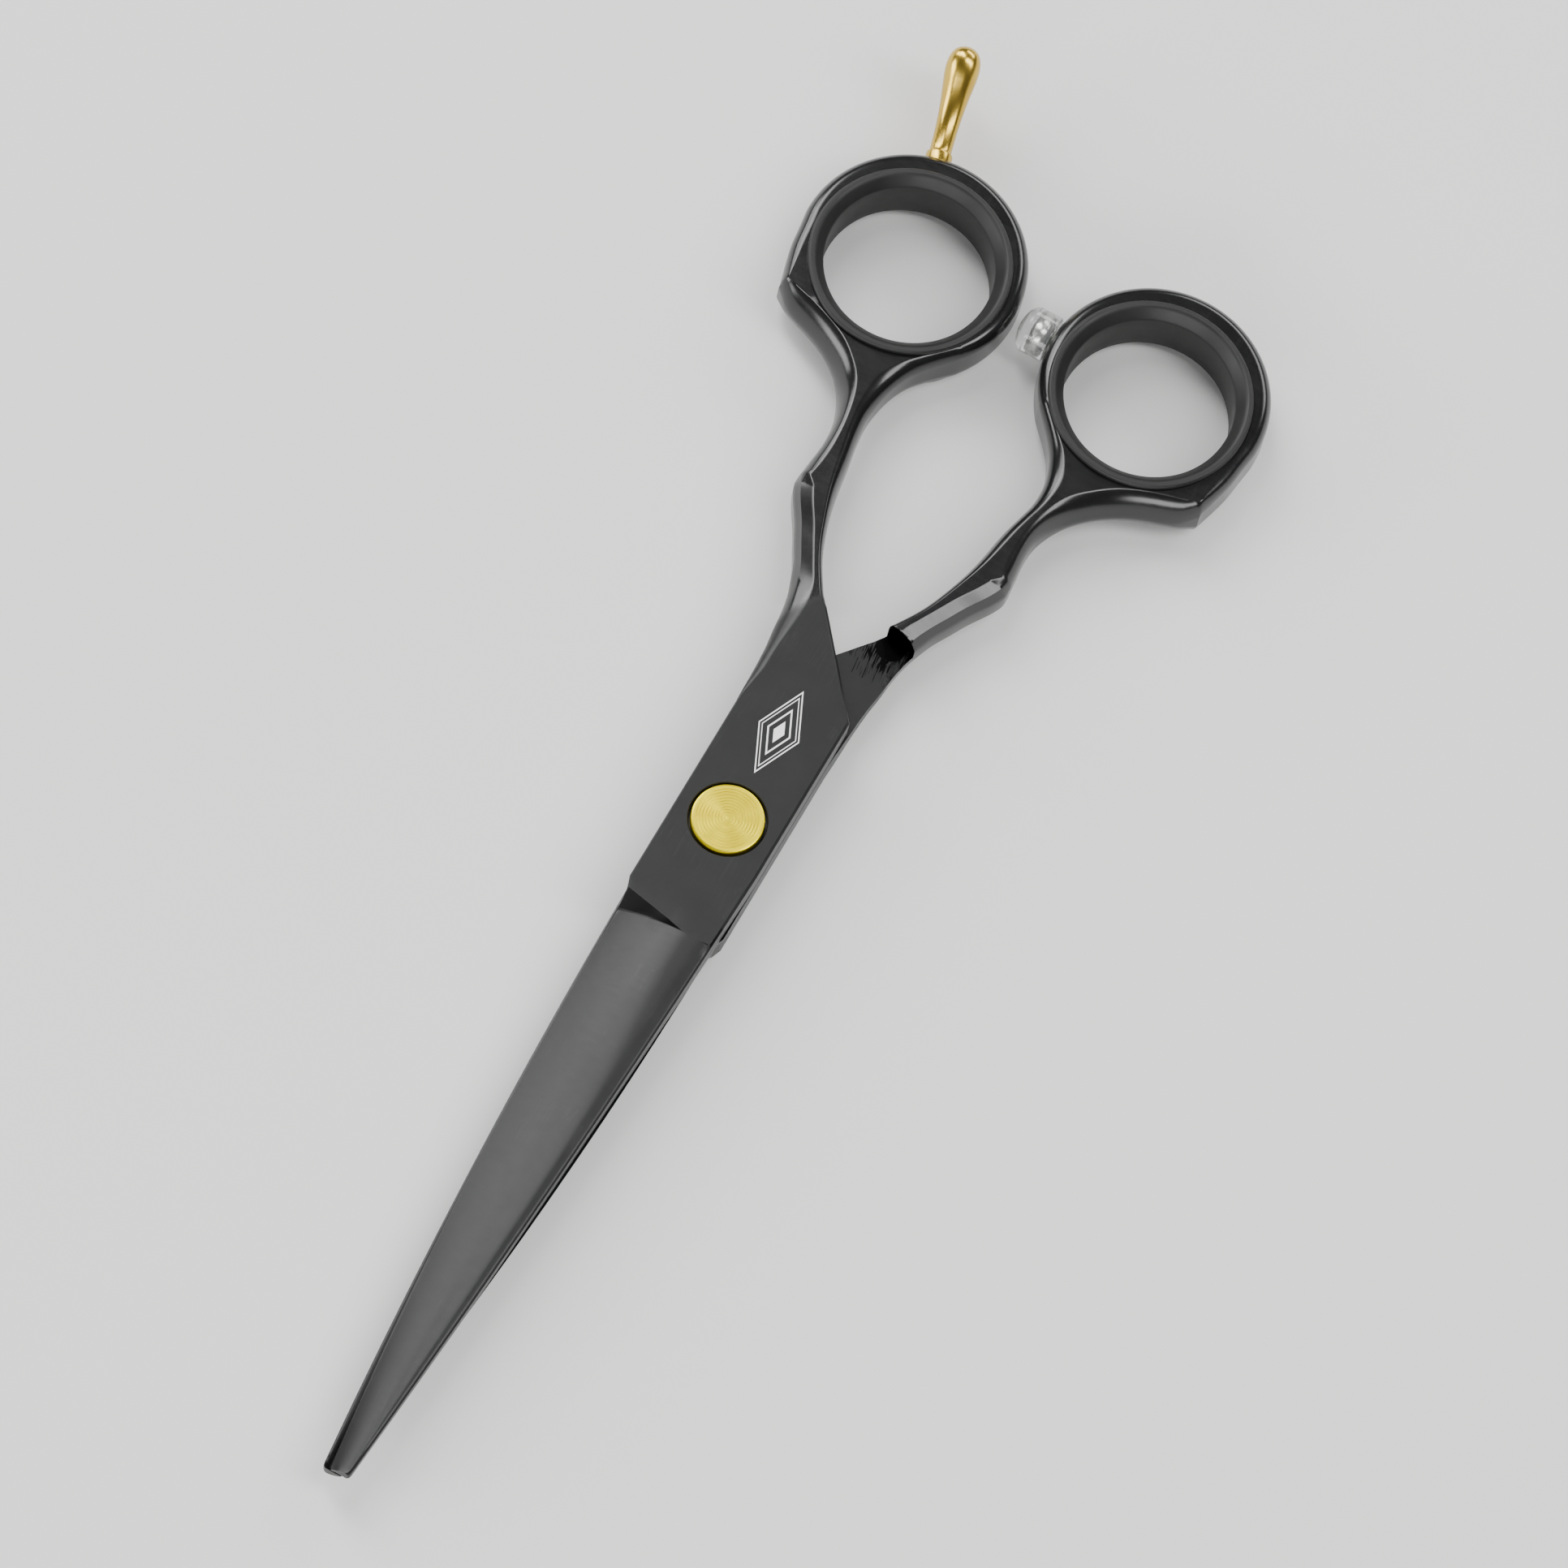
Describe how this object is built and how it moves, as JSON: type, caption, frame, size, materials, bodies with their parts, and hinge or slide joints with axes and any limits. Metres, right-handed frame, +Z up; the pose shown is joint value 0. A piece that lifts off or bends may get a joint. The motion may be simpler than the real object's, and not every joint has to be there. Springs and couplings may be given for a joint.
{
  "type": "hair cutting shears",
  "caption": "Right-handed hairdressing shears with rubber-lined rings, a screw-in finger rest, a stop bumper and a tension screw at the pivot.",
  "frame": {"origin": "centre of the closed shears' bounding box, on the table they lie on", "axes": "+Y along the closed blades towards the tips, +Z up through the screw head, +X towards the finger ring"},
  "size_m": [0.0542, 0.1723, 0.0097],
  "materials": {
    "black_coating": "satin",
    "black_rubber": "matte",
    "gold_finish": "polished",
    "clear_plastic": "gloss",
    "white_nylon": "satin",
    "spring_steel": "brushed"
  },
  "bodies": {
    "finger_half": {"finger_blade": "black_coating", "finger_handle": "black_coating", "finger_ring_insert": "black_rubber", "pivot_screw": "gold_finish"},
    "thumb_half": {"thumb_blade": "black_coating", "thumb_handle": "black_coating", "thumb_ring_insert": "black_rubber", "bumper": "clear_plastic", "pivot_bush": "white_nylon", "pivot_washer": "white_nylon", "nut_washer": "white_nylon", "wave_spring": "spring_steel"},
    "nut_body": {"tension_nut": "gold_finish"},
    "rest_body": {"finger_rest": "gold_finish"}
  },
  "joints": [
    {"name": "blade_pivot", "type": "hinge", "parent": "finger_half", "child": "thumb_half", "pos_m": [0.00045, 0.00498, 0.004], "axis": [0, 0, -1], "range_deg": [-0.4, 150]},
    {"name": "nut_turn", "type": "hinge", "parent": "finger_half", "child": "nut_body", "pos_m": [0.00045, 0.00498, 0.0006], "axis": [0, 0, -1], "range_deg": [-60, 180]},
    {"name": "rest_turn", "type": "hinge", "parent": "finger_half", "child": "rest_body", "pos_m": [0.01797, -0.07398, 0.004], "axis": [0.2535, -0.9673, 0], "continuous": true}
  ]
}
